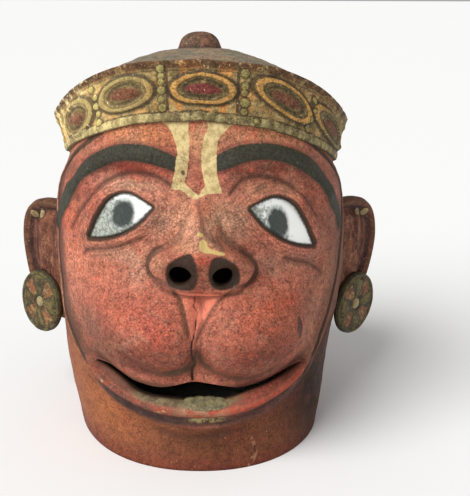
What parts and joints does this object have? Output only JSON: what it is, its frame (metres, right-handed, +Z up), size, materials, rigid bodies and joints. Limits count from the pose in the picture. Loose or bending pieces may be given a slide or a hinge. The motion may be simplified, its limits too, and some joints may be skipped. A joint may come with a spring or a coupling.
{
  "type": "monkey deity festival mask",
  "caption": "Hollow papier-mache helmet mask with a painted monkey face, domed crown, mirror eyes and flower discs at the ears",
  "frame": {"origin": "on the table, under the middle of the overall width and depth", "axes": "+Z up from the neck rim to the finial, -Y the way the face looks, +X towards the image's right"},
  "size_m": [0.3198, 0.2773, 0.3245],
  "materials": {
    "painted_papier_mache": "matte hand-painted red, ochre and olive over papier-mache, worn",
    "mirror_glass": "silvered glass, partly tarnished, with a painted pupil",
    "painted_ear_disc": "matte olive, brown and cream paint on moulded papier-mache"
  },
  "bodies": {
    "root": {"head_shell": "painted_papier_mache", "eye_left": "mirror_glass", "eye_right": "mirror_glass", "earring_left": "painted_ear_disc", "earring_right": "painted_ear_disc"}
  },
  "joints": []
}
